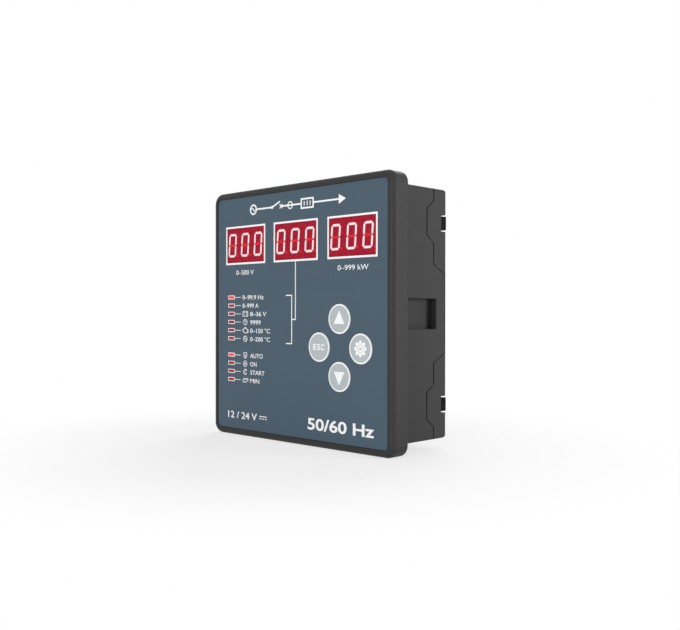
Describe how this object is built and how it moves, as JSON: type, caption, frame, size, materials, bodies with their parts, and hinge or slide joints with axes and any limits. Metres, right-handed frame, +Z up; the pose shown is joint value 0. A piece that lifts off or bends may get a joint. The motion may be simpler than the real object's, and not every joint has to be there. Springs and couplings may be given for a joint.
{
  "type": "genset controller",
  "caption": "Square panel-mounted generator-set controller with red LED displays, indicator lamps, round keys and rear plug-in terminals.",
  "frame": {"origin": "Centre of the square case on the plane of the bezel's rear face, which lies on the panel's front surface.", "axes": "+X right seen from the front, +Y into the panel towards the rear cover, +Z up; the front faces -Y."},
  "size_m": [0.096, 0.0334, 0.096],
  "materials": {
    "case_abs": "fine moulded texture",
    "overlay_film": "satin printed film",
    "white_ink": "screen-printed ink",
    "clear_pane": "clear film",
    "display_epoxy": "red diffused epoxy",
    "segment_lit": "glowing",
    "segment_unlit": "red diffused",
    "lens_lit": "glowing",
    "lens_red": "red diffused",
    "key_white": "smooth silicone",
    "key_grey": "printed",
    "black_plastic": "moulded",
    "terminal_polyamide": "moulded",
    "board_laminate": "solder mask",
    "plated_brass": "plated",
    "zinc_steel": "zinc plated",
    "relay_blue": "moulded",
    "capacitor_sleeve": "sleeved",
    "ferrite": "sintered"
  },
  "bodies": {
    "case": {"front_housing": "case_abs", "rear_cover": "case_abs", "front_overlay": "overlay_film", "overlay_print": "white_ink", "left_window": "clear_pane", "middle_window": "clear_pane", "right_window": "clear_pane", "left_display": "display_epoxy", "middle_display": "display_epoxy", "right_display": "display_epoxy", "left_lit_segments": "segment_lit", "middle_lit_segments": "segment_lit", "right_lit_segments": "segment_lit", "left_unlit_segments": "segment_unlit", "middle_unlit_segments": "segment_unlit", "right_unlit_segments": "segment_unlit", "indicator_1": "lens_lit", "indicator_2": "lens_red", "indicator_3": "lens_red", "indicator_4": "lens_red", "indicator_5": "lens_red", "indicator_6": "lens_red", "indicator_7": "lens_lit", "indicator_8": "lens_red", "indicator_9": "lens_red", "indicator_10": "lens_red", "up_switch": "black_plastic", "down_switch": "black_plastic", "escape_switch": "black_plastic", "settings_switch": "black_plastic", "display_board": "board_laminate", "power_board": "board_laminate", "board_link": "black_plastic", "board_spacers": "plated_brass", "upper_header": "black_plastic", "lower_header": "black_plastic", "upper_plug": "terminal_polyamide", "lower_plug": "terminal_polyamide", "upper_terminal_screws": "zinc_steel", "lower_terminal_screws": "zinc_steel", "start_relay": "relay_blue", "fuel_relay": "relay_blue", "processor": "black_plastic", "supply_capacitors": "capacitor_sleeve", "supply_coil": "ferrite", "cover_screws": "zinc_steel"},
    "up_button": {"up_key": "key_white", "up_label": "key_grey", "up_plunger": "black_plastic"},
    "down_button": {"down_key": "key_white", "down_label": "key_grey", "down_plunger": "black_plastic"},
    "escape_button": {"escape_key": "key_white", "escape_label": "key_grey", "escape_plunger": "black_plastic"},
    "settings_button": {"settings_key": "key_white", "settings_label": "key_grey", "settings_plunger": "black_plastic"}
  },
  "joints": [
    {"name": "up_press", "type": "slide", "parent": "case", "child": "up_button", "axis": [0, 1, 0], "range_m": [0, 0.0004], "stiffness_N_per_m": 2000, "springref_m": -0.0002},
    {"name": "down_press", "type": "slide", "parent": "case", "child": "down_button", "axis": [0, 1, 0], "range_m": [0, 0.0004], "stiffness_N_per_m": 2000, "springref_m": -0.0002},
    {"name": "escape_press", "type": "slide", "parent": "case", "child": "escape_button", "axis": [0, 1, 0], "range_m": [0, 0.0004], "stiffness_N_per_m": 2000, "springref_m": -0.0002},
    {"name": "settings_press", "type": "slide", "parent": "case", "child": "settings_button", "axis": [0, 1, 0], "range_m": [0, 0.0004], "stiffness_N_per_m": 2000, "springref_m": -0.0002}
  ]
}
